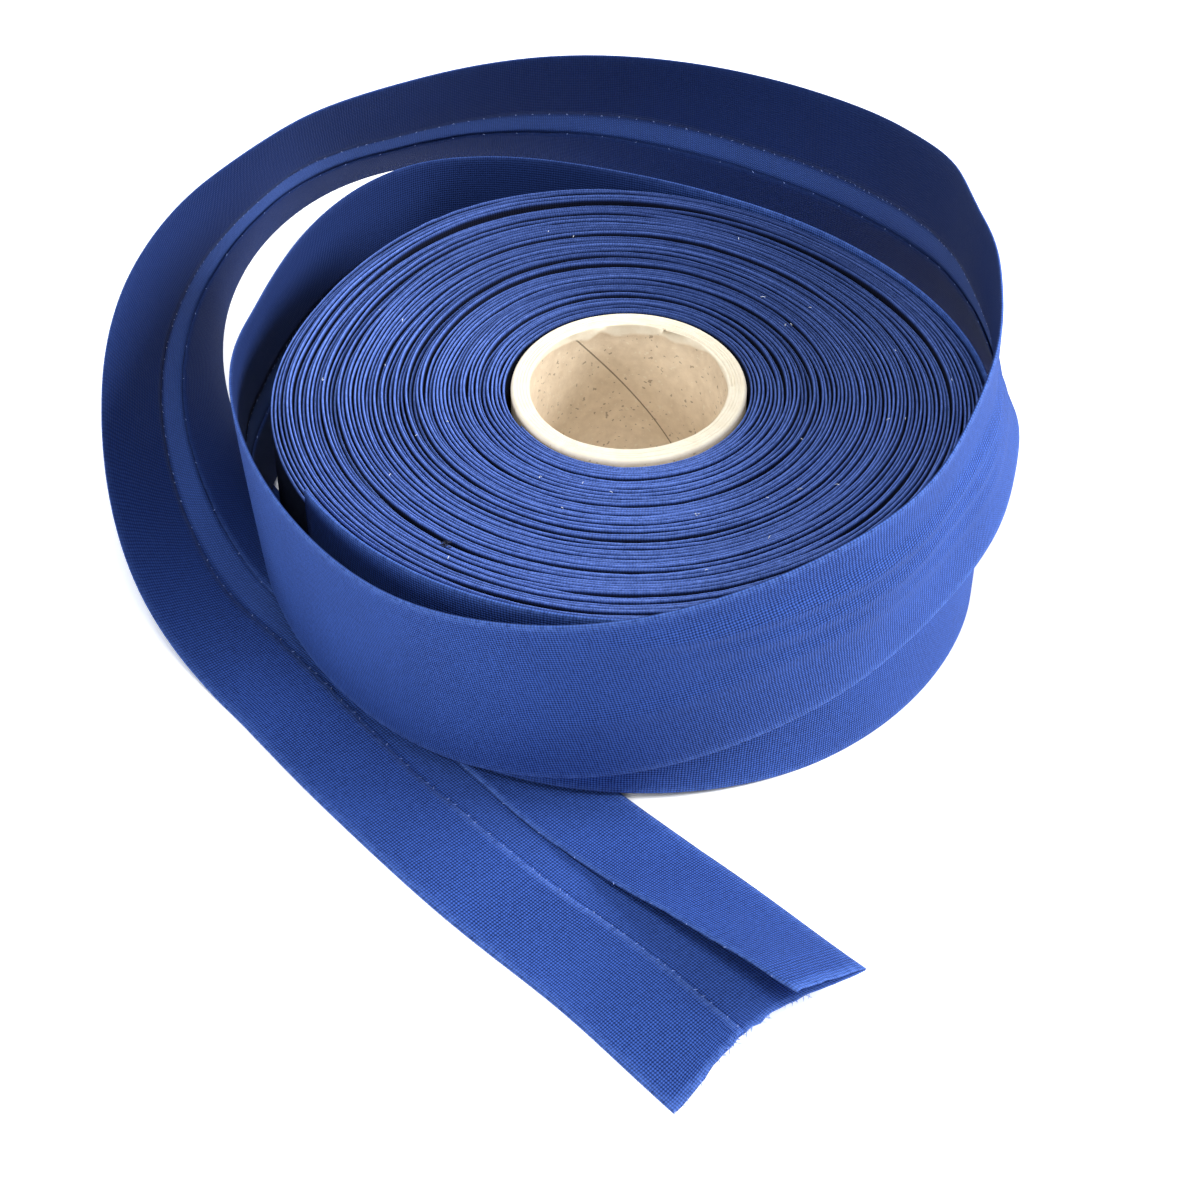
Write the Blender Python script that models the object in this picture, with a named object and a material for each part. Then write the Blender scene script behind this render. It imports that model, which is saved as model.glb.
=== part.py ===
"""Roll of bias binding: a cardboard core, the folded tape wound on it, and the tape's loose last turns.

Metres, +Z up. The roll lies on one side face at z = 0, with its axis along Z, and the origin is below
the middle of the whole. The loose tape leaves the roll at the front (-Y), goes round it twice, then
lies flat, its folded hems up, and passes under the roll's front left to its cut end.
"""

import collections
import math

import bpy
import numpy as np

MM = 0.001

# Driving sizes, in millimetres. The roll's axis stands a little off the middle of the whole.
ROLL_X = 13.3
ROLL_Y = 4.8
TAPE_WIDTH = 40.0
TAPE_THICKNESS = 1.0
PIECE_GAP = 0.35
CORE_OUTER_X = 21.3
CORE_OUTER_Y = 22.1
CORE_WALL = 3.4
CORE_LIP_FALL = 0.4
HEM_SHARE = 0.41
HEM_THICKNESS = 0.8
RELIEF_HEIGHT = 2.2
RELIEF_MARGIN = 0.7

# Outline of the wound roll, a little out of round: its radius at every 30 degrees from +X.
ROLL_RADII = (64.3, 61.5, 61.7, 65.2, 66.5, 64.0, 64.3, 64.2, 64.0, 64.3, 64.3, 64.3)

# The turns' upper edges aren't level: (share of the way from the core out, height).
ROLL_TOP = (
    (0.00, 39.5),
    (0.10, 40.1),
    (0.24, 39.6),
    (0.38, 40.2),
    (0.52, 39.7),
    (0.66, 40.2),
    (0.80, 39.8),
    (0.92, 40.1),
    (1.00, 39.4),
)

# The loose tape, a row for each section along it.
# angle: round the roll's axis, in degrees from +X
# reach: from the roll's outline out to the tape's lower edge, negative under the roll
# lift:  clear height under the lower edge
# lean:  tilt of the tape's width from upright, outwards, so 90 lies flat with its inner side up
# bend:  the upper half leans this much more than the mean, and the lower half this much less
FIRST_TURN = (
    (-88, 1.0, 0.0, 0, 0),
    (-60, 1.0, 0.0, 0, 0),
    (-30, 1.0, 0.0, 0, 0),
    (0, 1.0, 0.0, 0, 0),
    (30, 1.0, 0.0, 0, 0),
    (60, 1.0, 0.0, 0, 0),
    (78, 1.2, 0.0, 1, 0),
    (96, 4.0, 0.0, 4, 0),
    (115, 15.5, 0.0, 1, 0),
    (135, 13.5, 1.5, 2, 0),
    (154, 9.8, 3.5, 1, 0),
    (168, 7.3, 5.0, 1, 0),
    (182, 4.5, 5.0, 3, 0),
    (210, 1.6, 3.0, 6, 0),
    (238, 2.0, 3.0, 8, 0),
    (264, 3.4, 8.0, 8, 0),
)
SECOND_TURN = (
    (286, 3.6, 14.5, 8, 2),
    (305, 4.2, 20.5, 7, 0),
    (322, 4.6, 25.5, 4, 3),
    (336, 5.5, 29.0, -4, 4),
    (350, 5.7, 30.0, -10, 8),
    (365, 8.2, 27.8, -13, 10),
    (382, 12.0, 22.6, -7, 8),
    (400, 20.0, 15.6, -5, 6),
    (418, 30.6, 8.8, 1, 2),
    (443, 42.5, 6.6, -5, -4),
    (471, 61.5, 10.5, -31, 11),
    (488, 58.5, 7.0, -23, 5),
    (500, 46.0, 2.0, -3, -2),
    (510, 30.0, 0.0, 21, -6),
)
FLAT_END = (
    (520, 14.8, 0.0, 44, -9),
    (535, -4.2, 0.0, 77, -10),
    (567, -20.5, 0.0, 90, 0),
    (606, -16.0, 0.0, 90, 0),
    (629, 0.3, 0.0, 90, 0),
    (641, 18.5, 0.6, 90.8, 3),
    (649, 46.4, 4.0, 95.6, 10),
)

# The hem along the tape's right edge stands open at the cut end: (angle, opening in degrees).
OPEN_HEM = ((630, 0), (636, 2), (640, 7), (645, 16), (649, 27))

STEPS_ROUND = 96
STEPS_BETWEEN_ROWS = 5
POINTS_ACROSS = 7

# One value of each for every station along the tape: edge is the lower edge, upwards and outwards
# are the directions in which the tape's width stands and leans.
Stations = collections.namedtuple("Stations", "angle edge lean bend upwards outwards")

BLUE = (0.030, 0.062, 0.290, 1.0)
DEEP_BLUE = (0.024, 0.050, 0.240, 1.0)
KRAFT = (0.500, 0.400, 0.290, 1.0)


def clear_scene():
    for found in list(bpy.data.objects):
        bpy.data.objects.remove(found, do_unlink=True)


def natural_spline(knots, values, at):
    """Natural cubic spline through values (one row for each knot), read at the given places."""
    knots = np.asarray(knots, float)
    values = np.asarray(values, float)
    span = np.diff(knots)
    slope = np.diff(values, axis=0) / span[:, None]
    count = len(knots)
    matrix = np.eye(count)
    right = np.zeros_like(values)
    for i in range(1, count - 1):
        matrix[i, i - 1 : i + 2] = span[i - 1], 2 * (span[i - 1] + span[i]), span[i]
        right[i] = 6 * (slope[i] - slope[i - 1])
    curve = np.linalg.solve(matrix, right)
    at = np.asarray(at, float)
    k = np.clip(np.searchsorted(knots, at, side="right") - 1, 0, count - 2)
    near = (at - knots[k])[:, None]
    far = (knots[k + 1] - at)[:, None]
    h = span[k][:, None]
    cubic = curve[k] * far**3 + curve[k + 1] * near**3
    line = (values[k] / h - curve[k] * h / 6) * far + (values[k + 1] / h - curve[k + 1] * h / 6) * near
    return cubic / (6 * h) + line


def outline_radius(degrees):
    """Radius of the wound roll's outline, in mm, at any angle."""
    step = 360 / len(ROLL_RADII)
    wrapped = ROLL_RADII[-3:] + ROLL_RADII + ROLL_RADII[:4]
    knots = [(i - 3) * step for i in range(len(wrapped))]
    places = np.atleast_1d(np.asarray(degrees, float)) % 360
    return natural_spline(knots, np.array(wrapped)[:, None], places)[:, 0]


def tape_stations(rows, steps):
    """Stations along the tape, between the rows of its table."""
    table = np.array(rows, float)
    turn = np.radians(table[:, 0])
    radius = outline_radius(table[:, 0]) + table[:, 1]
    places = np.stack([radius * np.cos(turn), radius * np.sin(turn), table[:, 2]], axis=1)
    along = np.concatenate([[0], np.cumsum(np.linalg.norm(np.diff(places, axis=0), axis=1))])
    rows_at = np.linspace(0, len(rows) - 1, (len(rows) - 1) * steps + 1)
    at = np.interp(rows_at, range(len(rows)), along)
    angle, reach, lift, lean, bend = natural_spline(along, table, at).T
    turn = np.radians(angle)
    radius = outline_radius(angle) + reach
    edge = np.stack([radius * np.cos(turn), radius * np.sin(turn), lift], axis=1)
    tangent = np.gradient(edge, at, axis=0, edge_order=2)
    tangent /= np.linalg.norm(tangent, axis=1)[:, None]
    outwards = np.cross(tangent, (0, 0, 1))
    outwards /= np.linalg.norm(outwards, axis=1)[:, None]
    return Stations(angle, edge, lean, bend, np.cross(outwards, tangent), outwards)


def stations_from(stations, lowest_angle):
    kept = stations.angle >= lowest_angle
    return Stations(*(column[kept] for column in stations))


def leaning(stations, degrees):
    turn = np.radians(degrees)[:, None]
    return np.cos(turn) * stations.upwards + np.sin(turn) * stations.outwards


def strip_sections(stations, width, thickness, points):
    """Closed cross-sections of a strip: its outer side from the lower edge up, its inner side down."""
    step = 1 / (points - 1)
    place = stations.edge.copy()
    outer, inner = [], []
    for i in range(points):
        share = i * step
        lean = stations.lean + stations.bend * np.clip((share - 0.5) * 4, -1, 1)
        if i:
            middle = stations.lean + stations.bend * np.clip((share - step / 2 - 0.5) * 4, -1, 1)
            place = place + leaning(stations, middle) * width * step
        else:
            place[:, 2] += thickness / 2 * abs(np.sin(np.radians(lean)))
        resting = place.copy()
        resting[:, 2] = np.maximum(place[:, 2], thickness / 2 * abs(np.sin(np.radians(lean))))
        side = leaning(stations, lean + 90) * thickness / 2
        outer.append(resting + side)
        inner.append(resting - side)
    return np.stack(outer + inner[::-1], axis=1)


def mesh_object(name, points, faces, material):
    mesh = bpy.data.meshes.new(name)
    mesh.from_pydata([tuple(MM * value for value in point) for point in points], [], faces)
    mesh.validate()
    mesh.materials.append(material)
    made = bpy.data.objects.new(name, mesh)
    bpy.context.scene.collection.objects.link(made)
    made.location = (MM * ROLL_X, MM * ROLL_Y, 0)
    return made


def hidden(made):
    made.hide_render = True
    made.display_type = "WIRE"
    return made


def shade_round(made, sharp_degrees=40):
    made.data.shade_smooth()
    made.data.set_sharp_from_angle(angle=math.radians(sharp_degrees))


def loft(name, sections, material, closed):
    """A skin over closed sections: joined into a ring when closed, otherwise capped at both ends."""
    count, points, _ = sections.shape
    faces = []
    for i in range(count if closed else count - 1):
        here, there = i * points, (i + 1) % count * points
        for j in range(points):
            k = (j + 1) % points
            faces.append((here + j, there + j, there + k, here + k))
    if not closed:
        half = points // 2
        for start, flip in ((0, False), ((count - 1) * points, True)):
            for j in range(half - 1):
                cap = (start + j, start + j + 1, start + points - 2 - j, start + points - 1 - j)
                faces.append(cap[::-1] if flip else cap)
    return mesh_object(name, sections.reshape(-1, 3), faces, material)


def cloth_material(name, colour):
    made = bpy.data.materials.new(name)
    made.use_nodes = True
    shader = made.node_tree.nodes["Principled BSDF"]
    shader.inputs["Base Color"].default_value = colour
    shader.inputs["Roughness"].default_value = 0.85
    shader.inputs["Metallic"].default_value = 0.0
    return made


def core_radii(offset=0.0):
    """Radii of the core's oval outer side, moved out by offset, at each step round."""
    turn = np.linspace(0, 2 * math.pi, STEPS_ROUND, endpoint=False)
    return np.hypot((CORE_OUTER_X + offset) * np.cos(turn), (CORE_OUTER_Y + offset) * np.sin(turn))


def ring_sections(rings):
    """Sections of a ring, one for each step round: rings holds (radii at each step, height)."""
    turn = np.linspace(0, 2 * math.pi, STEPS_ROUND, endpoint=False)
    sections = np.empty((STEPS_ROUND, len(rings), 3))
    for j, (radii, height) in enumerate(rings):
        sections[:, j, 0] = radii * np.cos(turn)
        sections[:, j, 1] = radii * np.sin(turn)
        sections[:, j, 2] = height
    return sections


def make_core(material):
    """Cardboard tube, its upper end worn round at both edges."""
    outer = core_radii()
    inner = outer - CORE_WALL
    rings = [
        (inner, 0.0),
        (outer, 0.0),
        (outer, TAPE_WIDTH - CORE_LIP_FALL),
        (outer - CORE_LIP_FALL, TAPE_WIDTH),
        (inner + CORE_LIP_FALL, TAPE_WIDTH),
        (inner, TAPE_WIDTH - CORE_LIP_FALL),
    ]
    made = loft("core", ring_sections(rings), material, closed=True)
    shade_round(made)
    return made


def make_wound_roll(stations, material):
    """The wound turns as one solid, flat below and uneven above, with room for the tape under it."""
    degrees = np.linspace(0, 360, STEPS_ROUND, endpoint=False)
    outer = outline_radius(degrees)
    inner = core_radii(PIECE_GAP)
    rings = [(inner, 0.0), (outer, 0.0)]
    for share, height in reversed(ROLL_TOP):
        rings.append((inner + (outer - inner) * share, height))
    made = loft("wound_roll", ring_sections(rings), material, closed=True)
    shade_round(made)
    relief = made.modifiers.new("tape_under_roll", "BOOLEAN")
    relief.operation = "DIFFERENCE"
    relief.object = make_relief(stations, material)
    return made


def make_relief(stations, material):
    """Guide solid: the room that the flat tape takes under the roll."""
    flat = stations_from(stations, FLAT_END[0][0])
    level = flat.outwards
    near = flat.edge - level * RELIEF_MARGIN
    far = flat.edge + level * (TAPE_WIDTH + RELIEF_MARGIN)
    corners = []
    for side, height in ((near, -1), (far, -1), (far, 1), (near, 1)):
        corner = side.copy()
        corner[:, 2] = height * RELIEF_HEIGHT
        corners.append(corner)
    return hidden(loft("relief_guide", np.stack(corners, axis=1), material, closed=False))


def make_open_hem(stations, material):
    """Guide solid: the free hem at the cut end, turned up about the tape's right edge."""
    free = stations_from(stations, OPEN_HEM[0][0])
    opening = np.interp(free.angle, [row[0] for row in OPEN_HEM], [row[1] for row in OPEN_HEM])
    free = free._replace(lean=free.lean - free.bend - opening, bend=0 * free.bend)
    sections = strip_sections(free, TAPE_WIDTH * HEM_SHARE, HEM_THICKNESS, 3)
    return hidden(loft("open_hem_guide", sections, material, closed=False))


def make_loose_end(stations, material):
    """The tape's last turns and its flat end, one sheet with the free hem standing open."""
    sections = strip_sections(stations, TAPE_WIDTH, TAPE_THICKNESS, POINTS_ACROSS)
    made = loft("loose_end", sections, material, closed=False)
    shade_round(made)
    join = made.modifiers.new("open_hem", "BOOLEAN")
    join.operation = "UNION"
    join.object = make_open_hem(stations, material)
    return made


def main():
    clear_scene()
    make_core(cloth_material("kraft_board", KRAFT))
    stations = tape_stations(FIRST_TURN + SECOND_TURN + FLAT_END, STEPS_BETWEEN_ROWS)
    make_wound_roll(stations, cloth_material("wound_cotton", BLUE))
    make_loose_end(stations, cloth_material("tape_cotton", DEEP_BLUE))


main()
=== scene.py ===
"""Looks for the roll of bias binding: its core, wound turns, loose folded tape, thread ends and lint."""

import math

import bpy
import numpy as np
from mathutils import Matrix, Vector


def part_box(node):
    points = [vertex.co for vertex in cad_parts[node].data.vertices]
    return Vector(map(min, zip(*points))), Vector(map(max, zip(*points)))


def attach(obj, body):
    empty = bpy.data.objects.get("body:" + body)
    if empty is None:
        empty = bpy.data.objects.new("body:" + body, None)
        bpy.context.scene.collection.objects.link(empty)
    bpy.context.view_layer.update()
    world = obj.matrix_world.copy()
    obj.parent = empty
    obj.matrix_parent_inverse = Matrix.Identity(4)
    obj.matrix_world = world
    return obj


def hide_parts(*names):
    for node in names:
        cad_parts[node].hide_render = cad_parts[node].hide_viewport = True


MM = 0.001
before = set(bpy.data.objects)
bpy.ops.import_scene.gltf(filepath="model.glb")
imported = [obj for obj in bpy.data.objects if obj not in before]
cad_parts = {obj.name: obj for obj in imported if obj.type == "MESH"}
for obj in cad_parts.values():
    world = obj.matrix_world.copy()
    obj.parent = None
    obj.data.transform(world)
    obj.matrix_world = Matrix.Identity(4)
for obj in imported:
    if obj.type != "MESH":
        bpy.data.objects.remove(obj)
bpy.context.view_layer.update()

# The roll's axis is the core's, so every place below is measured from there, in millimetres.
core_low, core_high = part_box("core")
AXIS = (core_low + core_high) / 2
AXIS.z = 0

# The tape, in millimetres: one cloth body with a hem folded over it from each edge. The hems are shares of
# the finished width, and THREAD is the spacing of the weave's threads.
TAPE_WIDTH = 40.0
CLOTH = 0.22
HALF_FOLD = 0.19
LOWER_HEM = 0.41
UPPER_HEM = 0.43
UNFOLDED_WIDTH = 74.0
THREAD = 0.36

# Outline of the wound roll: its radius at every 30 degrees from +X.
ROLL_RADII = (64.3, 61.5, 61.7, 65.2, 66.5, 64.0, 64.3, 64.2, 64.0, 64.3, 64.3, 64.3)
# Height of the roll's upper side at shares of the way from the core to the outermost turn.
ROLL_TOP = (
    (0.00, 39.3),
    (0.10, 39.8),
    (0.24, 39.4),
    (0.38, 39.9),
    (0.52, 39.5),
    (0.66, 39.9),
    (0.80, 39.6),
    (0.92, 39.8),
    (1.00, 39.2),
)
# The wound turns: how many, the step along them, their share of the pitch, how far bands of turns wander,
# and how far the painted shade over the back ones is turned from the back.
TURNS = 60
TURN_STEP = 1.55
TURN_SHARE = 0.72
BAND_LOOSENESS = 0.55
BAND_PARTS = 24
HIGHEST_TURN = 40.6
LAST_TURN_END = -150.0
BACK_TURN = math.radians(-14)
# A turn's section: place across it as a share of half its thickness, the level that it is measured from,
# the rise over that level, and its wear_and_light: ridge wear with a painted highlight, painted shade below.
TURN_SECTION = (
    (-0.80, "bottom", 0.0, 0.0),
    (0.80, "bottom", 0.0, 0.0),
    (1.00, "top", -0.85, 0.0),
    (0.84, "top", -0.30, 0.35),
    (0.46, "top", -0.07, 0.85),
    (0.00, "top", 0.03, 1.0),
    (-0.46, "top", -0.07, 0.85),
    (-0.84, "top", -0.30, 0.35),
    (-1.00, "top", -0.85, 0.0),
)

# The core: half its outside, its wall, the gap round it, its rim's height and its pressed plies.
CORE_OUTER_X = 21.3
CORE_OUTER_Y = 22.1
CORE_WALL = 3.4
CORE_GAP = 0.35
CORE_RIM = 39.75
HIGHEST_CORE = 40.7
CORE_STEPS = 288
PLIES = 5
BORE_COLUMNS = 10
# The seam round the bore: degrees of climb for each millimetre of height, and where it starts.
SEAM_CLIMB = -2.35
SEAM_START = 212.0

# The loose tape, a row for each section: degrees round the axis, reach from the roll's outline, lift of the
# lower edge, degrees of lean from upright, and degrees of bend. The rows are the CAD's, apart from an earlier
# and closer start, a lower edge at the left, and small changes at the back right.
FIRST_TURN = (
    (-150, -0.30, 1.5, 0, 0),
    (-120, 0.00, 1.5, 0, 0),
    (-88, 0.35, 1.3, 0, 0),
    (-60, 0.45, 0.0, 0, 0),
    (-30, 0.50, 0.0, 0, 0),
    (0, 0.55, 0.0, 0, 0),
    (30, 0.60, 0.0, 0, 0),
    (60, 0.70, 0.0, 0, 0),
    (78, 1.1, 0.0, 1, 0),
    (96, 4.0, 0.0, 4, 0),
    (115, 15.5, 0.0, 1, 0),
    (135, 13.5, 1.5, 2, 0),
    (154, 9.8, 1.0, 1, 0),
    (168, 7.3, 1.4, 1, 0),
    (182, 4.5, 3.0, 3, 0),
    (210, 1.6, 3.0, 6, 0),
    (238, 2.0, 3.0, 8, 0),
    (264, 3.4, 8.0, 8, 0),
)
SECOND_TURN = (
    (286, 3.6, 14.5, 8, 2),
    (305, 4.2, 20.5, 7, 0),
    (322, 4.6, 25.5, 4, 3),
    (336, 5.5, 29.0, -4, 4),
    (350, 5.7, 30.0, -10, 8),
    (365, 8.2, 27.8, -13, 10),
    (382, 12.0, 22.6, -7, 8),
    (400, 20.3, 15.6, -4, 6),
    (418, 30.8, 8.8, -0.5, 2),
    (443, 42.5, 6.6, -5, -4),
    (471, 61.5, 10.5, -31, 11),
    (488, 58.5, 7.0, -23, 5),
    (500, 46.0, 2.0, -3, -2),
    (510, 30.0, 0.0, 21, -6),
)
FLAT_END = (
    (520, 14.8, 0.0, 44, -9),
    (535, -4.2, 0.0, 77, -10),
    (567, -20.5, 0.0, 90, 0),
    (606, -16.0, 0.0, 90, 0),
    (629, 0.3, 0.0, 90, 0),
    (641, 18.5, 0.6, 90.8, 3),
    (649, 46.4, 4.0, 95.6, 10),
)
# How far the lower hem stands open near the cut end: angle round the axis, and degrees of opening.
OPEN_HEM = ((628, 0), (634, 2), (639, 6), (645, 13), (649, 20))
# The angle from which the tape lies flat.
FLAT_FROM = 515.0
# Soft folds along the second turn: from and to which angle, the share of the width there, and height.
SOFT_FOLDS = (
    (276, 356, 0.84, 0.52, 1.20),
    (286, 362, 0.66, 0.34, 1.00),
    (300, 366, 0.44, 0.20, 0.60),
    (262, 318, 0.36, 0.50, 0.45),
)
# The share of the width over which a soft fold fades.
FOLD_SPREAD = 0.055
# The cut end: how far back the cut reaches, its hollow middle, its slant, and how much longer the flap is.
CUT_DEPTH = 6.0
CUT_BACK = 2.6
CUT_SLANT = -2.4
FLAP_LONGER = 1.6
STEPS_BETWEEN_ROWS = 16
BEND_SAMPLES = 81
# Points across the folded section: in a hem, round a fold and across the body, and the body's middle one.
HEM_SAMPLES = 13
FOLD_SAMPLES = 6
BODY_SAMPLES = 29
MIDDLE_COLUMN = 30

# Specks on the roll's upper side: angle from +X, distance from the axis, size.
PALE_SPECKS = ((313.8, 41.9, 0.7), (286.9, 38.6, 0.7), (179.2, 55.3, 0.5), (239.9, 30.9, 0.5))
DARK_SPECKS = ((235.4, 54.3, 1.1),)
# Loose fibres: how many lie on the roll, their height, thickness of the pale and of the dark, and how many
# make up a pale and a dark speck.
FIBRES = 26
FIBRE_HEIGHT = 40.15
SPECK_HEIGHT = 40.2
PALE_FIBRE = 0.06
DARK_FIBRE = 0.09
PALE_TANGLE = 4
DARK_TANGLE = 22
# Thread ends at the cut: how many, how thick, and their share near the middle of the cut.
CUT_ENDS = 34
THREAD_END = 0.07
MIDDLE_ENDS = 0.7

# Cloth: dark for weave hollows and painted shade, body, light, painted gap shade, painted ridge highlight.
SHADE = (0.0035, 0.0125, 0.0700, 1)
BODY = (0.0430, 0.1100, 0.4450, 1)
LIGHT = (0.1100, 0.2100, 0.6000, 1)
PAINTED_GAP_SHADE = (0.0008, 0.0022, 0.0130, 1)
RIDGE_HIGHLIGHT = (0.2000, 0.3300, 0.9000, 1)

# The studio, in metres from the roll's axis: the camera, the floor, and the lamps, each with its name, place,
# size, power and tint. The floor's own light is GLOW_SLOPE times the distance plus GLOW_OFFSET.
CAMERA_PLACE = (-0.00518, -0.3550, 0.3087)
CAMERA_TILT = 47.84
LENS = 73.86
SENSOR = 36
FLOOR_REACH = 4.0
GLOW_SLOPE = 90.0
GLOW_OFFSET = -7.2
LAMP_TARGET = (0, 0, 0.02)
WORLD_LIGHT = 0.30
FLOOR_GLOW = 0.40
LAMPS = (
    ("right_softbox", (1.25, 0.05, 0.60), (0.7, 0.6), 34.0, (1, 1, 1)),
    ("left_softbox", (-1.05, -0.75, 0.65), (0.6, 0.5), 9.0, (1, 1, 1)),
    ("top_softbox", (0.05, -0.35, 1.30), (0.6, 0.6), 12.0, (1, 1, 1)),
)


def natural_spline(knots, values, at):
    """Natural cubic spline through values (one row for each knot), read at the given places."""
    knots = np.asarray(knots, float)
    values = np.asarray(values, float)
    span = np.diff(knots)
    slope = np.diff(values, axis=0) / span[:, None]
    count = len(knots)
    matrix = np.eye(count)
    right = np.zeros_like(values)
    for i in range(1, count - 1):
        matrix[i, i - 1 : i + 2] = span[i - 1], 2 * (span[i - 1] + span[i]), span[i]
        right[i] = 6 * (slope[i] - slope[i - 1])
    curve = np.linalg.solve(matrix, right)
    at = np.asarray(at, float)
    k = np.clip(np.searchsorted(knots, at, side="right") - 1, 0, count - 2)
    near = (at - knots[k])[:, None]
    far = (knots[k + 1] - at)[:, None]
    h = span[k][:, None]
    cubic = curve[k] * far**3 + curve[k + 1] * near**3
    line = (values[k] / h - curve[k] * h / 6) * far + (values[k + 1] / h - curve[k + 1] * h / 6) * near
    return cubic / (6 * h) + line


def outline_radius(degrees):
    """Radius of the wound roll's outline at any angle."""
    step = 360 / len(ROLL_RADII)
    wrapped = ROLL_RADII[-3:] + ROLL_RADII + ROLL_RADII[:4]
    knots = [(i - 3) * step for i in range(len(wrapped))]
    places = np.atleast_1d(np.asarray(degrees, float)) % 360
    return natural_spline(knots, np.array(wrapped)[:, None], places)[:, 0]


def core_radius(turn, offset=0.0):
    return np.hypot((CORE_OUTER_X + offset) * np.cos(turn), (CORE_OUTER_Y + offset) * np.sin(turn))


def wander(length, spacing, size, random):
    """A smooth random line, read at each place along a length: spacing between its knots, and its size."""
    length = np.asarray(length, float)
    knots = np.arange(length.min() - spacing, length.max() + 2 * spacing, spacing)
    values = random.normal(0, 1, len(knots))
    place = (length - knots[0]) / spacing
    k = np.clip(place.astype(int), 0, len(knots) - 2)
    t = place - k
    t = t * t * (3 - 2 * t)
    return size * (values[k] * (1 - t) + values[k + 1] * t)


def smooth_step(value, low, high):
    t = np.clip((value - low) / (high - low), 0, 1)
    return t * t * (3 - 2 * t)


def table_value(at, rows):
    return np.interp(at, [row[0] for row in rows], [row[1] for row in rows])


# Meshes


def mesh_piece(name, points, faces, material, uv=None, marks=None, replaces=()):
    """A piece from points in millimetres round the roll's axis. uv and marks hold a value for each point."""
    mesh = bpy.data.meshes.new(name)
    points = np.asarray(points, float) * MM + np.array(AXIS)
    mesh.from_pydata(points.tolist(), [], faces if isinstance(faces, list) else faces.tolist())
    mesh.materials.append(material)
    corner = np.zeros(len(mesh.loops), np.int32)
    mesh.loops.foreach_get("vertex_index", corner)
    if uv is not None:
        layer = mesh.uv_layers.new(name="cloth")
        layer.uv.foreach_set("vector", np.asarray(uv, np.float32)[corner].ravel())
    for title, values in (marks or {}).items():
        made = mesh.attributes.new(title, "FLOAT", "POINT")
        made.data.foreach_set("value", np.asarray(values, np.float32).ravel())
    mesh.shade_smooth()
    piece = bpy.data.objects.new(name, mesh)
    bpy.context.scene.collection.objects.link(piece)
    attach(piece, "root")
    if replaces:
        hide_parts(*replaces)
    return piece


def grid_faces(rows, columns, start=0, ring=False):
    """Quads between the rows of a grid of points; ring joins the last column to the first."""
    r = np.arange(rows - 1)[:, None]
    c = np.arange(columns if ring else columns - 1)[None, :]
    d = (c + 1) % columns
    a = start + r * columns + c
    b = start + (r + 1) * columns + c
    e = start + (r + 1) * columns + d
    f = start + r * columns + d
    return np.stack([a, b, e, f], -1).reshape(-1, 4)


# Materials


class Graph:
    """Short calls for a material's nodes."""

    def __init__(self, name):
        self.material = bpy.data.materials.new(name)
        self.material.use_nodes = True
        self.nodes = self.material.node_tree.nodes
        self.links = self.material.node_tree.links
        self.shader = self.nodes["Principled BSDF"]

    def put(self, value, socket):
        if isinstance(value, bpy.types.NodeSocket):
            self.links.new(value, socket)
        else:
            socket.default_value = value

    def math(self, operation, *values, clamp=False):
        node = self.nodes.new("ShaderNodeMath")
        node.operation = operation
        node.use_clamp = clamp
        for i, value in enumerate(values):
            self.put(value, node.inputs[i])
        return node.outputs[0]

    def mark(self, name):
        node = self.nodes.new("ShaderNodeAttribute")
        node.attribute_name = name
        return node.outputs["Fac"]

    def cloth_uv(self):
        node = self.nodes.new("ShaderNodeUVMap")
        node.uv_map = "cloth"
        parts = self.nodes.new("ShaderNodeSeparateXYZ")
        self.links.new(node.outputs[0], parts.inputs[0])
        return parts.outputs[0], parts.outputs[1]

    def place(self, x, y, z=0.0):
        node = self.nodes.new("ShaderNodeCombineXYZ")
        for value, socket in zip((x, y, z), node.inputs):
            self.put(value, socket)
        return node.outputs[0]

    def noise(self, vector, scale, detail=2.0, rough=0.5):
        node = self.nodes.new("ShaderNodeTexNoise")
        self.put(vector, node.inputs["Vector"])
        node.inputs["Scale"].default_value = scale
        node.inputs["Detail"].default_value = detail
        node.inputs["Roughness"].default_value = rough
        return node.outputs["Fac"]

    def mix(self, share, first, second):
        node = self.nodes.new("ShaderNodeMix")
        node.data_type = "RGBA"
        self.put(share, node.inputs[0])
        self.put(first, node.inputs[6])
        self.put(second, node.inputs[7])
        return node.outputs[2]

    def bump(self, height, strength, distance):
        node = self.nodes.new("ShaderNodeBump")
        node.inputs["Strength"].default_value = strength
        node.inputs["Distance"].default_value = distance
        self.links.new(height, node.inputs["Height"])
        self.links.new(node.outputs[0], self.shader.inputs["Normal"])


def object_place(graph):
    node = graph.nodes.new("ShaderNodeTexCoord")
    return node.outputs["Object"]


def weave(graph, thread):
    """Plain weave cut on the bias: its height and the stripe of one thread direction, each from 0 to 1, and
    the place on the cloth."""
    across, along = graph.cloth_uv()
    flat = graph.place(across, along)
    drift = graph.math("MULTIPLY_ADD", graph.noise(flat, 0.8, 2.0), 0.26, -0.13)
    across = graph.math("ADD", across, drift)
    drift = graph.math("MULTIPLY_ADD", graph.noise(flat, 0.37, 2.0), 0.5, -0.25)
    along = graph.math("ADD", along, drift)
    diagonal = math.pi / (thread * math.sqrt(2))
    one_way = graph.math("ADD", across, along)
    warp = graph.math("SINE", graph.math("MULTIPLY", one_way, diagonal))
    other_way = graph.math("SUBTRACT", across, along)
    weft = graph.math("SINE", graph.math("MULTIPLY", other_way, diagonal))
    crossed = graph.math("MULTIPLY", warp, weft)
    height = graph.math("MULTIPLY_ADD", crossed, 0.5, 0.5)
    stripe = graph.math("ABSOLUTE", warp)
    return height, stripe, flat


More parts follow.
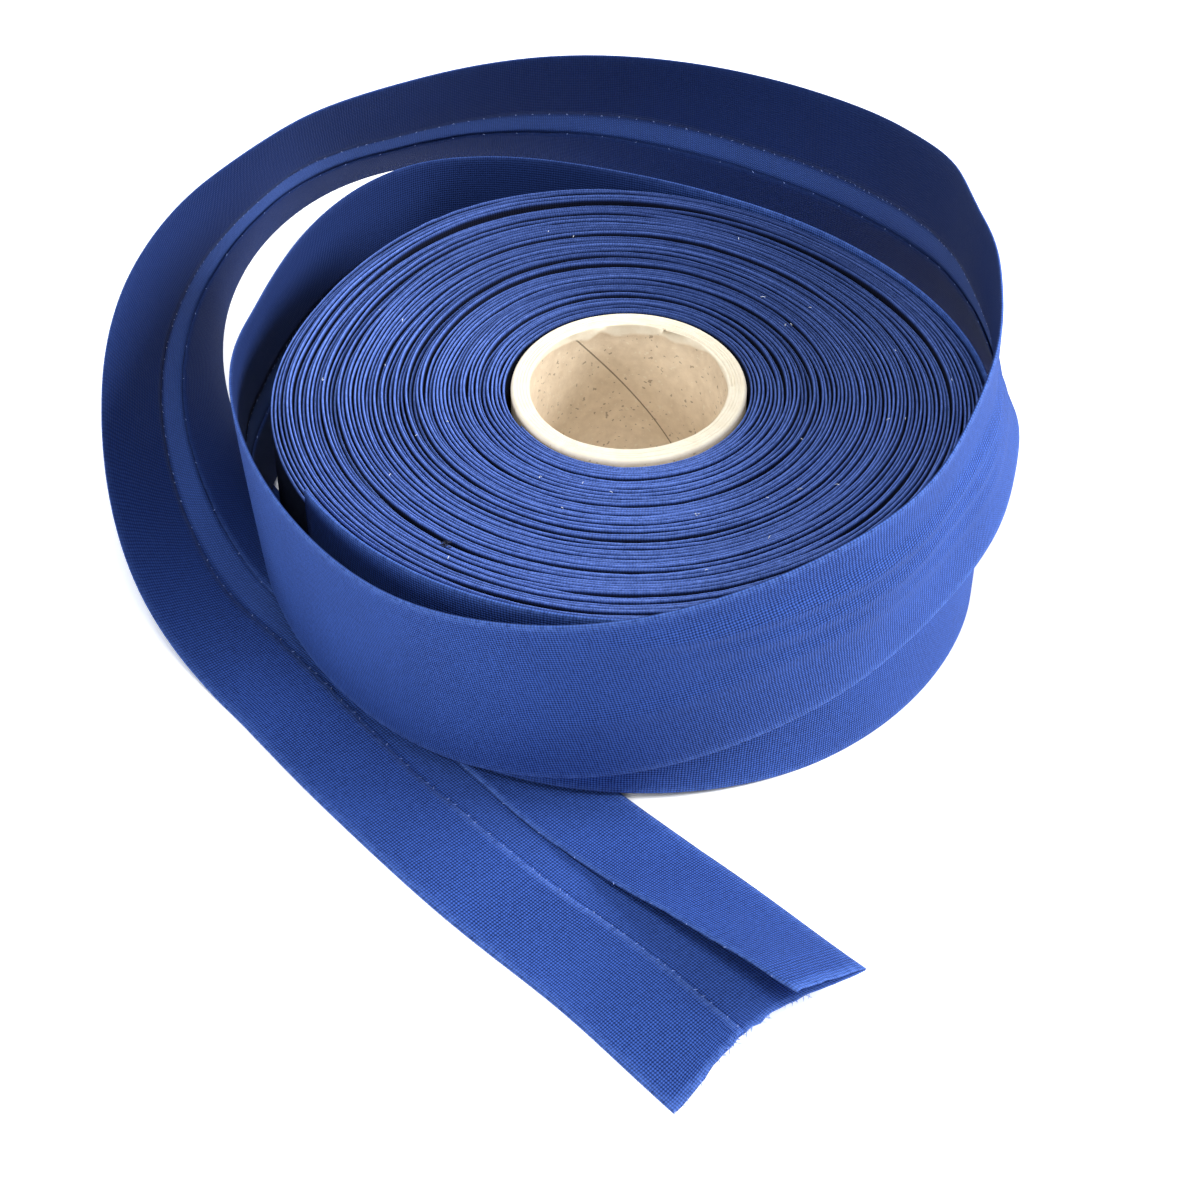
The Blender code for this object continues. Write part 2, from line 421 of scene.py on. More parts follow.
def cloth_material(name, edge_light_share, deep=False):
    """The tape's cotton. edge_light_share sets how light its fold edges are, wear and a painted highlight,
    and deep is for the wound turns.
    """
    graph = Graph(name)
    ridge = RIDGE_HIGHLIGHT if deep else LIGHT
    height, stripe, flat = weave(graph, THREAD)
    wear_and_light = graph.mark("wear_and_light")
    mottle = graph.noise(flat, 0.9, 3.0)
    patch = graph.noise(flat, 0.06, 2.0)
    level = graph.math("MULTIPLY_ADD", height, 1.30, -0.34)
    level = graph.math("ADD", level, graph.math("MULTIPLY", stripe, 0.26))
    level = graph.math("ADD", level, graph.math("MULTIPLY_ADD", mottle, 0.44, -0.22))
    level = graph.math("ADD", level, graph.math("MULTIPLY_ADD", patch, 0.24, -0.12), clamp=True)
    cloth = graph.mix(level, SHADE, BODY)
    # Fold edges and turn ridges are lightened: partly wear, partly a painted highlight.
    edge_lightening = graph.math("MULTIPLY_ADD", mottle, 0.9, edge_light_share - 0.45)
    rim = graph.math("MULTIPLY", wear_and_light, edge_lightening, clamp=True)
    cloth = graph.mix(rim, cloth, ridge)
    if deep:
        # Painted shade in the gaps between turns, where wear_and_light is low.
        gap_shade_share = graph.math("SUBTRACT", 1.0, graph.math("MULTIPLY", wear_and_light, 1.9), clamp=True)
        # Painted shade over the turns at the back.
        cloth = graph.mix(graph.mark("shade"), cloth, SHADE)
        cloth = graph.mix(gap_shade_share, cloth, PAINTED_GAP_SHADE)
    else:
        # Painted shade on the inner side where the tape stands, less of it on the strip, then the strip's
        # lighter hatch.
        strip = graph.mark("strip")
        depth = graph.math("MULTIPLY_ADD", strip, -0.50, 0.84)
        shaded = graph.math("MULTIPLY", graph.mark("inner_shade"), depth)
        cloth = graph.mix(shaded, cloth, SHADE)
        hatch = graph.math("MULTIPLY", strip, graph.math("MULTIPLY_ADD", stripe, 0.40, -0.06))
        cloth = graph.mix(hatch, cloth, LIGHT)
    graph.put(cloth, graph.shader.inputs["Base Color"])
    graph.shader.inputs["Roughness"].default_value = 0.86
    graph.shader.inputs["Specular IOR Level"].default_value = 0.12
    graph.shader.inputs["Sheen Weight"].default_value = 0.05
    graph.shader.inputs["Sheen Roughness"].default_value = 0.45
    graph.shader.inputs["Sheen Tint"].default_value = (0.45, 0.58, 1.0, 1)
    relief = graph.math("ADD", height, graph.math("MULTIPLY", mottle, 0.6))
    graph.bump(relief, 0.8, 0.00014)
    return graph.material


def thread_material():
    graph = Graph("raw_thread")
    tone = graph.noise(object_place(graph), 900.0)
    colour = graph.mix(tone, (0.08, 0.16, 0.50, 1), (0.30, 0.42, 0.85, 1))
    graph.put(colour, graph.shader.inputs["Base Color"])
    graph.shader.inputs["Roughness"].default_value = 0.8
    graph.shader.inputs["Sheen Weight"].default_value = 0.3
    return graph.material


def board_material():
    graph = Graph("kraft_cardboard")
    around, height = graph.cloth_uv()
    place = object_place(graph)
    fibre = graph.noise(place, 420.0, 4.0, 0.65)
    speck = graph.noise(place, 1100.0, 1.0)
    kraft = graph.mix(fibre, (0.60, 0.475, 0.335, 1), (0.92, 0.79, 0.60, 1))
    dark = graph.math("GREATER_THAN", speck, 0.70)
    kraft = graph.mix(graph.math("MULTIPLY", dark, 0.5), kraft, (0.14, 0.09, 0.05, 1))
    pale = graph.math("LESS_THAN", speck, 0.30)
    kraft = graph.mix(graph.math("MULTIPLY", pale, 0.45), kraft, (0.85, 0.78, 0.62, 1))
    # The winding seam of the innermost ply: a fine dark line that climbs round the bore.
    climb = graph.math("ADD", around, graph.math("MULTIPLY", height, SEAM_CLIMB))
    climb = graph.math("SUBTRACT", climb, SEAM_START)
    wrapped = graph.math("FLOORED_MODULO", climb, 360.0)
    near = graph.math("ABSOLUTE", graph.math("SUBTRACT", wrapped, 180.0))
    line = graph.math("MULTIPLY", graph.math("LESS_THAN", near, 0.55), graph.mark("bore"))
    kraft = graph.mix(graph.math("MULTIPLY", line, 0.75), kraft, (0.10, 0.07, 0.04, 1))
    cream = graph.mix(fibre, (0.74, 0.64, 0.47, 1), (0.92, 0.86, 0.72, 1))
    graph.put(graph.mix(graph.mark("cut"), kraft, cream), graph.shader.inputs["Base Color"])
    graph.shader.inputs["Roughness"].default_value = 0.88
    graph.shader.inputs["Specular IOR Level"].default_value = 0.25
    graph.bump(graph.math("ADD", fibre, graph.math("MULTIPLY", line, -0.8)), 0.4, 0.00015)
    return graph.material


def lint_material(name, colour):
    graph = Graph(name)
    tone = graph.noise(object_place(graph), 1500.0)
    lighter = tuple(min(1, 1.4 * part) for part in colour)
    graph.put(graph.mix(tone, colour, lighter), graph.shader.inputs["Base Color"])
    graph.shader.inputs["Roughness"].default_value = 0.8
    return graph.material


# The loose tape


def tape_stations():
    """Angle, lower edge, lean, bend, the two directions of the width, and distance along, by station."""
    table = np.array(FIRST_TURN + SECOND_TURN + FLAT_END, float)
    turn = np.radians(table[:, 0])
    radius = outline_radius(table[:, 0]) + table[:, 1]
    places = np.stack([radius * np.cos(turn), radius * np.sin(turn), table[:, 2]], axis=1)
    along = np.concatenate([[0], np.cumsum(np.linalg.norm(np.diff(places, axis=0), axis=1))])
    rows_at = np.linspace(0, len(table) - 1, (len(table) - 1) * STEPS_BETWEEN_ROWS + 1)
    at = np.interp(rows_at, range(len(table)), along)
    angle, reach, lift, lean, bend = natural_spline(along, table, at).T
    turn = np.radians(angle)
    radius = outline_radius(angle) + reach
    edge = np.stack([radius * np.cos(turn), radius * np.sin(turn), lift], axis=1)
    tangent = np.gradient(edge, at, axis=0, edge_order=2)
    tangent /= np.linalg.norm(tangent, axis=1)[:, None]
    outwards = np.cross(tangent, (0, 0, 1))
    outwards /= np.linalg.norm(outwards, axis=1)[:, None]
    step = np.linalg.norm(np.diff(edge, axis=0), axis=1)
    gone = np.concatenate([[0], np.cumsum(step)])
    return angle, edge, lean, bend, np.cross(outwards, tangent), outwards, gone


def folded_section(count, gone, angle, random):
    """The cloth's path across the folded tape at each station: (place up the width, offset outwards)."""
    fray = wander(gone, 13, 0.18, random) + wander(gone, 1.9, 0.05, random)
    lower = LOWER_HEM * TAPE_WIDTH + fray
    fray = wander(gone, 15, 0.20, random) + wander(gone, 1.7, 0.06, random)
    upper = UPPER_HEM * TAPE_WIDTH + fray
    gap_low = 0.05 + np.abs(wander(gone, 14, 0.08, random))
    gap_high = 0.03 + np.abs(wander(gone, 18, 0.05, random))
    opening = np.radians(table_value(angle, OPEN_HEM))
    radius = HALF_FOLD
    path = []
    for t in np.linspace(1, 0, HEM_SAMPLES):
        out = t * (lower - radius)
        rise = gap_low * t**2
        place = radius + out * np.cos(opening)
        path.append((place, -radius - rise - out * np.sin(opening)))
    for t in np.linspace(0, np.pi, FOLD_SAMPLES)[1:-1]:
        path.append((radius - radius * np.sin(t), -radius * np.cos(t)))
    for t in np.linspace(0, 1, BODY_SAMPLES):
        path.append((radius + t * (TAPE_WIDTH - 2 * radius), radius))
    for t in np.linspace(0, np.pi, FOLD_SAMPLES)[1:-1]:
        path.append((TAPE_WIDTH - radius + radius * np.sin(t), radius * np.cos(t)))
    for t in np.linspace(0, 1, HEM_SAMPLES):
        out = t * (upper - radius)
        path.append((TAPE_WIDTH - radius - out, -radius - gap_high * t**2))
    place = np.stack([np.broadcast_to(p, count) for p, _ in path], axis=1)
    offset = np.stack([np.broadcast_to(n, count) for _, n in path], axis=1)
    return place, offset


def surface_normals(grid):
    """Unit normals of a grid of points."""
    down = np.gradient(grid, axis=0)
    across = np.gradient(grid, axis=1)
    normal = np.cross(down, across)
    return normal / np.maximum(np.linalg.norm(normal, axis=2), 1e-9)[:, :, None]


def make_loose_tape(material):
    """The folded tape. It returns the cloth's middle surface, its normals, and the distance along."""
    random = np.random.default_rng(31)
    angle, edge, lean, bend, upwards, outwards, gone = tape_stations()
    count = len(angle)
    place, offset = folded_section(count, gone, angle, random)

    # The bent middle line of the section, and the direction out of it, at fine shares of the width.
    shares = np.linspace(0, 1, BEND_SAMPLES)
    local = np.radians(lean[:, None] + bend[:, None] * np.clip((shares - 0.5) * 4, -1, 1)[None, :])
    line = np.zeros((count, BEND_SAMPLES, 3))
    face = -np.sin(local)[:, :, None] * upwards[:, None] + np.cos(local)[:, :, None] * outwards[:, None]
    rise = np.cos(local)[:, :, None] * upwards[:, None] + np.sin(local)[:, :, None] * outwards[:, None]
    step = TAPE_WIDTH / (BEND_SAMPLES - 1)
    line[:, 1:] = np.cumsum((rise[:, 1:] + rise[:, :-1]) / 2 * step, axis=1)
    line += edge[:, None]
    rest = (HALF_FOLD + CLOTH / 2) * np.abs(np.sin(local))
    line[:, :, 2] = np.maximum(line[:, :, 2], rest)

    # Soft lengthwise waves in the cloth, more where it stands free.
    free = smooth_step(angle, 80, 110) * (1 - smooth_step(angle, 505, 540))
    wave = np.zeros((count, BEND_SAMPLES))
    for spacing, size, tilt in ((38, 0.22, 0.5), (21, 0.13, -0.35), (11, 0.05, 0.2)):
        shifted = gone[:, None] + tilt * shares[None, :] * TAPE_WIDTH
        signal = wander(shifted.ravel(), spacing, size, random).reshape(count, BEND_SAMPLES)
        wave += signal * np.sin(np.pi * np.clip(shares, 0.02, 0.98))[None, :] ** 0.5
    for first, last, low, high, height in SOFT_FOLDS:
        course = np.interp(angle, (first, last), (low, high))[:, None]
        ridge = np.exp(-(((shares[None, :] - course) / FOLD_SPREAD) ** 2))
        ends = smooth_step(angle, first - 8, first + 12) * (1 - smooth_step(angle, last - 12, last + 8))
        wave += height * ridge * ends[:, None]
    wave *= (0.25 + 0.75 * free)[:, None] * (1 - smooth_step(angle, 500, 520))[:, None]

    def read(values, where):
        at = np.clip(where / TAPE_WIDTH, 0, 1) * (BEND_SAMPLES - 1)
        k = np.minimum(at.astype(int), BEND_SAMPLES - 2)
        t = at - k
        row = np.arange(count)[:, None]
        if values.ndim == 3:
            t = t[:, :, None]
        return values[row, k] * (1 - t) + values[row, k + 1] * t

    grid = read(line, place) + read(face, place) * (offset + read(wave, place))[:, :, None]
    # The cut isn't straight: its middle is cut back, and its threads pull out unevenly there.
    last = gone > gone[-1] - CUT_DEPTH
    pull = ((gone[last] - gone[-1] + CUT_DEPTH) / CUT_DEPTH)[:, None]
    ragged = wander(np.linspace(0, UNFOLDED_WIDTH, place.shape[1]), 1.1, 0.25, random)
    middle = np.sin(np.pi * np.clip(place[last] / TAPE_WIDTH, 0, 1)) ** 1.5
    flap = (offset[last] < 0) & (place[last] < TAPE_WIDTH / 2)
    shape = np.where(flap, FLAP_LONGER, -CUT_BACK) * middle + ragged * middle
    shape = shape + CUT_SLANT * (place[last] / TAPE_WIDTH - 0.5)
    ahead = np.cross(upwards, outwards)[last][:, None]
    ahead = ahead * np.sign(np.sum(ahead[-1, 0] * (edge[-1] - edge[-3])))
    grid[last] += ahead * (pull * shape)[:, :, None]
    normal = surface_normals(grid)
    normal *= np.sign(np.sum(normal[:, MIDDLE_COLUMN] * face[:, BEND_SAMPLES // 2], axis=1).mean())
    front = grid + normal * CLOTH / 2
    back = grid - normal * CLOTH / 2
    for side in (front, back):
        side[:, :, 2] = np.maximum(side[:, :, 2], 0.01)

    columns = place.shape[1]
    loop = np.concatenate([front, back[:, ::-1]], axis=1)
    faces = grid_faces(count, 2 * columns, ring=True).tolist()
    last = (count - 1) * 2 * columns
    for j in range(columns - 1):
        k = 2 * columns - 1 - j
        faces.append([j, j + 1, k - 1, k])
        faces.append([last + k, last + k - 1, last + j + 1, last + j])
    across = np.concatenate([[0], np.cumsum(np.hypot(*np.diff([place[0], offset[0]], axis=1)))])
    across = np.concatenate([across, across[::-1]])
    uv = np.stack(np.broadcast_arrays(across[None, :], gone[:, None]), axis=-1).reshape(-1, 2)
    fold = np.exp(-np.minimum(place, TAPE_WIDTH - place) / 0.7)
    raw = np.zeros_like(place)
    raw[:, 0] = raw[:, -1] = 1
    raw[-1] = 1
    # Lighter fold edges, partly wear and partly a painted highlight, and worn raw edges and cut end.
    wear_and_light = np.concatenate([np.maximum(fold, raw), np.maximum(fold, raw)[:, ::-1]], axis=1)
    # Painted shade: where the tape stands, the side that faces the roll is darkened towards SHADE.
    standing = smooth_step(angle, 60, 100) * (1 - smooth_step(angle, 515, 575))
    hem_side = 1 - smooth_step(offset, -0.5 * HALF_FOLD, 0.5 * HALF_FOLD)
    inner_shade = np.concatenate([hem_side, np.ones_like(hem_side)], axis=1) * standing[:, None]
    between = (place > LOWER_HEM * TAPE_WIDTH) & (place < (1 - UPPER_HEM) * TAPE_WIDTH) & (offset > 0)
    strip = np.concatenate([np.zeros_like(hem_side), between[:, ::-1].astype(float)], axis=1)
    # The strip's lighter hatch is weakened where the tape lies flat: painted shade there.
    strip *= 0.15 + 0.85 * standing[:, None]
    piece = mesh_piece(
        "loose_tape",
        loop.reshape(-1, 3),
        faces,
        material,
        uv=uv,
        marks={"wear_and_light": wear_and_light, "inner_shade": inner_shade, "strip": strip},
        replaces=("loose_end",),
    )
    return grid, normal, gone


# The wound turns


def make_wound_turns(material):
    """One spiral of upright tape from the core to the outermost turn."""
    random = np.random.default_rng(7)
    pitch = (outline_radius(np.arange(0, 360, 5)).mean() - CORE_OUTER_X - CORE_GAP) / TURNS
    end = math.radians(LAST_TURN_END)
    start = end - TURNS * 2 * math.pi
    turn = [start]
    middle = CORE_OUTER_X + pitch
    while turn[-1] < end:
        share = (turn[-1] - start) / (end - start)
        turn.append(turn[-1] + TURN_STEP / (middle + share * TURNS * pitch))
    turn = np.array(turn[:-1] + [end])
    share = (turn - start) / (end - start)
    thickness = TURN_SHARE * pitch
    inner = core_radius(turn, CORE_GAP + thickness / 2)
    outer = outline_radius(np.degrees(turn)) - thickness / 2
    radius = inner + (outer - inner) * share
    gone = np.concatenate([[0], np.cumsum(np.hypot(np.diff(radius), radius[1:] * np.diff(turn)))])

    # Neighbouring turns keep together in bands, with a wider gap between the bands.
    loose = np.zeros_like(radius)
    for size, spread in ((0.15, 1.3), (0.10, 2.3)):
        knots = random.normal(0, size, (BAND_PARTS, TURNS * 2))
        column = share * (TURNS * 2 - 1) / spread % (TURNS * 2 - 1)
        row = (turn / (2 * math.pi) % 1) * BAND_PARTS
        r, c = row.astype(int) % BAND_PARTS, column.astype(int)
        s, t = row - row.astype(int), column - c
        s = s * s * (3 - 2 * s)
        near = knots[r, c] * (1 - t) + knots[r, c + 1] * t
        beside = (r + 1) % BAND_PARTS
        far = knots[beside, c] * (1 - t) + knots[beside, c + 1] * t
        loose += near * (1 - s) + far * s
    calm = smooth_step(share, 0, 0.03) * (1 - smooth_step(share, 0.975, 1))
    radius = radius + BAND_LOOSENESS * loose * calm
    top = table_value(share, ROLL_TOP) + wander(gone, 110, 0.30, random) + wander(gone, 23, 0.10, random)
    top -= 0.9 * smooth_step(wander(gone, 170, 1.0, random), 0.9, 1.6)
    top += wander(gone, 3.1, 0.035, random)
    top = np.minimum(top, HIGHEST_TURN)
    half = thickness / 2 * (1 + np.clip(wander(gone, 31, 0.05, random), -0.1, 0.1))

    # The turns ride up over the flat tape that runs under them.
    angle, edge, _, _, _, outwards, _ = tape_stations()
    flat = angle > FLAT_FROM
    line = (edge + outwards * TAPE_WIDTH / 2)[flat][:, :2]
    spot = np.stack([radius * np.cos(turn), radius * np.sin(turn)], axis=1)
    away = np.full(len(spot), 1e9)
    for point in line:
        away = np.minimum(away, np.hypot(*(spot - point).T))
    bottom = 1.5 * (1 - smooth_step(away, TAPE_WIDTH / 2 + 0.8, TAPE_WIDTH / 2 + 5))

    columns = len(TURN_SECTION)
    points = np.empty((len(turn), columns, 3))
    for j, (out, level, rise, _) in enumerate(TURN_SECTION):
        reach = radius + out * half
        points[:, j, 0] = reach * np.cos(turn)
        points[:, j, 1] = reach * np.sin(turn)
        points[:, j, 2] = (bottom if level == "bottom" else top) + rise
    faces = grid_faces(len(turn), columns, ring=True).tolist()
    last = (len(turn) - 1) * columns
    faces.append(list(range(columns)))
    faces.append([last + j for j in reversed(range(columns))])
    lengths = np.linalg.norm(np.diff(points[0], axis=0), axis=1)
    across = np.concatenate([[0], np.cumsum(lengths)])
    uv = np.stack(np.broadcast_arrays(across[None, :], gone[:, None]), axis=-1).reshape(-1, 2)
    wear_and_light = np.broadcast_to([row[3] for row in TURN_SECTION], (len(turn), columns))
    # Painted shade over the turns at the back, with a little random tone along them.
    shade = wander(gone, 60, 0.10, random)
    shade = shade + 0.62 * smooth_step(np.sin(turn - BACK_TURN), -0.25, 0.95)
    shade = np.broadcast_to(np.clip(shade, 0, 0.8)[:, None], (len(turn), columns))
    mesh_piece(
        "wound_turns",
        points.reshape(-1, 3),
        faces,
        material,
        uv=uv,
        marks={"wear_and_light": wear_and_light, "shade": shade},
        replaces=("wound_roll",),
    )


# The core


def make_core(material):
    """Cardboard tube of pressed plies, torn and lifted at the back of its inner lip."""
    random = np.random.default_rng(5)
    turn = np.linspace(0, 2 * math.pi, CORE_STEPS, endpoint=False)
    level = np.zeros(CORE_STEPS)
    outer = core_radius(turn)
    around = np.degrees(turn)

    def loop_noise(parts, size):
        """A smooth random line that closes round the core."""
        values = random.normal(0, size, parts)
        place = turn / (2 * math.pi) * parts
        k = place.astype(int) % parts
        t = place - place.astype(int)
        t = t * t * (3 - 2 * t)
        return values[k] * (1 - t) + values[(k + 1) % parts] * t

    torn = np.exp(-(((around - 96) / 46) ** 2)) + 0.45 * np.exp(-(((around - 10) / 22) ** 2))
    profile = [(outer - CORE_WALL, level), (outer, level), (outer, level + 38.9)]
    rim = CORE_RIM + loop_noise(11, 0.12)
    profile.append((outer - 0.12, rim - 0.35))
    profile.append((outer - 0.45, rim))
    for k in range(PLIES):
        share = k / PLIES
        mid = outer - 0.55 - (CORE_WALL - 0.65) * share
        width = (CORE_WALL - 0.65) / PLIES
        lift = loop_noise(23, 0.05)
        ragged = loop_noise(17, 0.35) - 0.45 * share**2 * (2.4 + loop_noise(9, 1.2))
        lift = lift + torn * ragged
        slip = torn * share * loop_noise(29, 0.22)
        height = rim + lift * (0.35 + 0.65 * share)
        if k:
            groove = 0.10 + 0.75 * torn * share
            profile.append((mid + 0.10 + slip, height - groove))
        profile.append((mid - 0.04 + slip, height))
        profile.append((mid - width + 0.14 + slip, height - 0.02))
    lip = torn * (0.9 + loop_noise(13, 0.5) + loop_noise(41, 0.35))
    lip = lip + 0.10 * loop_noise(47, 1.0)
    edge = outer - CORE_WALL
    profile.append((edge + 0.02 + 0.3 * lip, rim - 0.30 - 0.5 * lip))
    profile.append((edge - 0.10 * lip, rim - 0.62 - 1.2 * np.abs(lip)))
    profile.append((edge + 0.06, rim - 0.95 - 1.6 * np.abs(lip)))
    for height in np.linspace(36.0, 2.0, 9):
        profile.append((edge + 0.04 * loop_noise(7, 0.6), level + height))
    columns = len(profile)
    points = np.empty((CORE_STEPS, columns, 3))
    for j, (radius, height) in enumerate(profile):
        points[:, j, 0] = radius * np.cos(turn)
        points[:, j, 1] = radius * np.sin(turn)
        points[:, j, 2] = np.clip(height, 0, HIGHEST_CORE)
    ring = np.arange(CORE_STEPS)[:, None]
    col = np.arange(columns)[None, :]
    after, beside = (ring + 1) % CORE_STEPS, (col + 1) % columns
    quads = [ring * columns + col, after * columns + col, after * columns + beside, ring * columns + beside]
    faces = np.stack(np.broadcast_arrays(*quads), -1).reshape(-1, 4)
    cut = np.zeros(columns)
    cut[3:-BORE_COLUMNS] = 1
    cut = np.broadcast_to(cut[None, :], (CORE_STEPS, columns))
    height = points[:, :, 2]
    bore = np.zeros(columns)
    bore[-BORE_COLUMNS:] = 1
    bore[0] = 1
    bore = np.broadcast_to(bore[None, :], (CORE_STEPS, columns))
    marks = {"cut": cut, "bore": bore}
    turned = np.broadcast_to(around[:, None], (CORE_STEPS, columns))
    uv = np.stack([turned, height], axis=-1).reshape(-1, 2)
    mesh_piece(
        "core_tube",
        points.reshape(-1, 3),
        faces,
        material,
        uv=uv,
        marks=marks,
        replaces=("core",),
    )


# Loose threads


def thread_mesh(name, paths, radius, material):
    """Thin round threads, one for each path of points."""
    points, faces = [], []
    sides = 4
    for path in paths:
        path = np.asarray(path, float)
        tangent = np.gradient(path, axis=0)
        tangent /= np.maximum(np.linalg.norm(tangent, axis=1), 1e-9)[:, None]
        first = np.cross(tangent, (0.31, 0.17, 0.93))
        first /= np.maximum(np.linalg.norm(first, axis=1), 1e-9)[:, None]
        second = np.cross(tangent, first)
        start = len(points)
        for i in range(len(path)):
            taper = radius * (1 if i < len(path) - 1 else 0.4)
            for s in range(sides):
                turn = 2 * math.pi * s / sides
                points.append(path[i] + taper * (math.cos(turn) * first[i] + math.sin(turn) * second[i]))
        faces += grid_faces(len(path), sides, start, ring=True).tolist()
        faces.append([start + s for s in reversed(range(sides))])
        end = start + (len(path) - 1) * sides
        faces.append([end + s for s in range(sides)])
    mesh_piece(name, np.array(points), faces, material)


def make_frays(tape, material):
    """Thread ends along the raw edges of the hems and round the cut end."""
    grid, normal, gone = tape
    random = np.random.default_rng(12)
    paths = []
    for column, inner, every in ((-1, -3, 2.3), (0, 2, 9.0)):
        for at in np.arange(2, gone[-1] - 1, every):
            i = int(np.searchsorted(gone, at + random.uniform(-1.2, 1.2)))
            i = min(max(i, 1), len(gone) - 2)
            away = grid[i, column] - grid[i, inner]
            away /= np.linalg.norm(away)
            ahead = grid[i + 1, column] - grid[i - 1, column]
            ahead /= np.linalg.norm(ahead)
            size = random.uniform(0.10, 0.42)
            lean = random.choice((-1, 1)) * random.uniform(0.6, 1.1)
            side = away + lean * ahead
            side /= np.linalg.norm(side)
            towards = grid[i, MIDDLE_COLUMN] - grid[i, column]
            lift = -normal[i, column] * np.sign(np.sum(normal[i, column] * towards))
            base = grid[i, column] + lift * CLOTH * 0.3
            middle = base + 0.5 * size * side + 0.03 * lift
            paths.append([base - 0.2 * side, middle, base + size * side + 0.05 * lift])
    last = len(gone) - 1
    ahead = grid[last] - grid[last - 2]
    ahead /= np.linalg.norm(ahead, axis=1)[:, None]
    across = np.gradient(grid[last], axis=0)
    across /= np.linalg.norm(across, axis=1)[:, None]
    for _ in range(CUT_ENDS):
        near_middle = random.uniform() < MIDDLE_ENDS
        column = random.uniform(24, 38) if near_middle else random.uniform(0, grid.shape[1] - 2)
        k = int(column)
        base = grid[last, k] * (1 - column + k) + grid[last, k + 1] * (column - k)
        size = random.uniform(0.3, 1.5)
        side = ahead[k] + random.choice((-1, 1)) * random.uniform(0.5, 1.3) * across[k]
        side /= np.linalg.norm(side)
        drop = np.array((0, 0, random.uniform(-0.25, 0.2)))
        paths.append([base - 0.3 * side, base + 0.5 * size * side, base + size * (side + drop)])
    for path in paths:
        for point in path:
            point[2] = max(point[2], 0.12)
    thread_mesh("raw_edge_threads", paths, THREAD_END, material)


def lint_speck(degrees, radius, size, count, random):
    """Short fibres in a small tangle on the roll's upper side."""
    turn = math.radians(degrees)
    middle = np.array((radius * math.cos(turn), radius * math.sin(turn), SPECK_HEIGHT))
    paths = []
    for _ in range(count):
        start = middle + random.normal(0, size / 3, 3) * (1, 1, 0.3)
        side = random.normal(0, size / 3, 3) * (1, 1, 0.3)
        paths.append([start, start + side, start + side + random.normal(0, size / 4, 3) * (1, 1, 0.3)])
    return paths


def make_lint():
    """Pale specks, a dark one and short fibres caught on the roll's upper side."""
    random = np.random.default_rng(3)
    paths = []
    for _ in range(FIBRES):
        turn = random.uniform(0, 2 * math.pi)
        share = random.uniform(0.1, 0.95)
        radius = 24 + share * 37
        base = np.array((radius * math.cos(turn), radius * math.sin(turn), FIBRE_HEIGHT))
        heading = random.uniform(0, 2 * math.pi)
        side = np.array((math.cos(heading), math.sin(heading), 0))
        size = random.uniform(0.3, 1.0)
        paths.append([base, base + size * 0.5 * side + (0, 0, 0.12), base + size * side])
    for degrees, radius, size in PALE_SPECKS:
        paths += lint_speck(degrees, radius, size, PALE_TANGLE, random)
    thread_mesh("lint", paths, PALE_FIBRE, lint_material("pale_lint", (0.62, 0.66, 0.78, 1)))
    dark = []
    for degrees, radius, size in DARK_SPECKS:
        dark += lint_speck(degrees, radius, size, DARK_TANGLE, random)
    thread_mesh("dark_lint", dark, DARK_FIBRE, lint_material("dark_fluff", (0.004, 0.006, 0.02, 1)))


# The stage


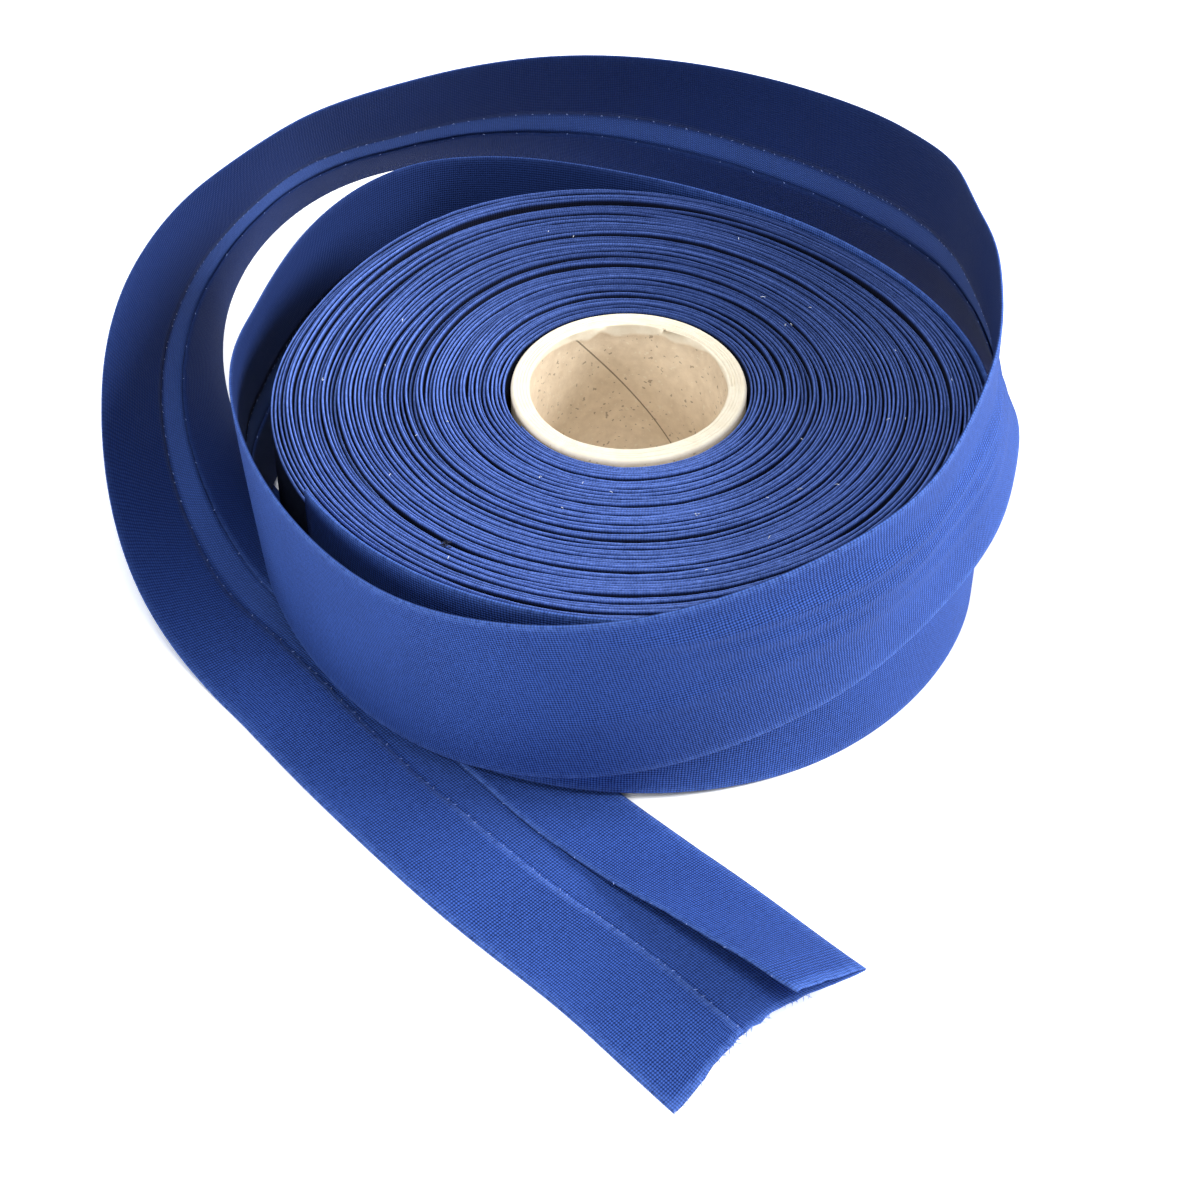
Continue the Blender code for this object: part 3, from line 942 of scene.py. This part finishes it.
def make_stage():
    """Pale floor, studio light and the camera."""
    scene = bpy.context.scene
    scene.view_settings.view_transform = "Standard"
    scene.view_settings.look = "None"
    graph = Graph("pale_floor")
    tone = graph.noise(object_place(graph), 3.0)
    pale = graph.mix(tone, (0.92, 0.93, 0.94, 1), (0.95, 0.955, 0.96, 1))
    graph.put(pale, graph.shader.inputs["Base Color"])
    graph.shader.inputs["Roughness"].default_value = 0.7
    graph.shader.inputs["Specular IOR Level"].default_value = 0.2
    # The floor glows with its own even light, which is painted out under and near the roll: a painted shadow
    # there.
    away = graph.nodes.new("ShaderNodeVectorMath")
    away.operation = "DISTANCE"
    graph.put(object_place(graph), away.inputs[0])
    away.inputs[1].default_value = AXIS
    distance = away.outputs["Value"]
    open_floor = graph.math("MULTIPLY_ADD", distance, GLOW_SLOPE, GLOW_OFFSET, clamp=True)
    glow = graph.mix(open_floor, (0, 0, 0, 1), (0.93, 0.97, 1.0, 1))
    graph.put(glow, graph.shader.inputs["Emission Color"])
    graph.shader.inputs["Emission Strength"].default_value = FLOOR_GLOW
    mesh = bpy.data.meshes.new("floor")
    corners = [(x * FLOOR_REACH, y * FLOOR_REACH, 0) for x, y in ((-1, -1), (1, -1), (1, 1), (-1, 1))]
    mesh.from_pydata(corners, [], [(0, 1, 2, 3)])
    mesh.materials.append(graph.material)
    floor = bpy.data.objects.new("floor", mesh)
    scene.collection.objects.link(floor)

    world = bpy.data.worlds.new("studio")
    world.use_nodes = True
    background = world.node_tree.nodes["Background"]
    background.inputs["Color"].default_value = (0.93, 0.96, 1.0, 1)
    background.inputs["Strength"].default_value = WORLD_LIGHT
    scene.world = world
    for name, place, size, power, tint in LAMPS:
        light = bpy.data.lights.new(name, "AREA")
        light.shape = "RECTANGLE"
        light.size, light.size_y = size
        light.energy = power
        light.color = tint
        lamp = bpy.data.objects.new(name, light)
        lamp.location = AXIS + Vector(place)
        aim = AXIS + Vector(LAMP_TARGET) - lamp.location
        lamp.rotation_euler = aim.to_track_quat("-Z", "Y").to_euler()
        scene.collection.objects.link(lamp)

    lens = bpy.data.cameras.new("camera")
    lens.sensor_width = SENSOR
    lens.lens = LENS
    lens.clip_start, lens.clip_end = 0.01, 20
    camera = bpy.data.objects.new("camera", lens)
    camera.location = AXIS + Vector(CAMERA_PLACE)
    camera.rotation_euler = (math.radians(CAMERA_TILT), 0, 0)
    scene.collection.objects.link(camera)
    scene.camera = camera


def main():
    tape_cloth = cloth_material("tape_cloth", 0.30)
    wound_cloth = cloth_material("wound_cloth", 0.55, deep=True)
    make_core(board_material())
    make_wound_turns(wound_cloth)
    tape = make_loose_tape(tape_cloth)
    make_frays(tape, thread_material())
    make_lint()
    make_stage()


main()
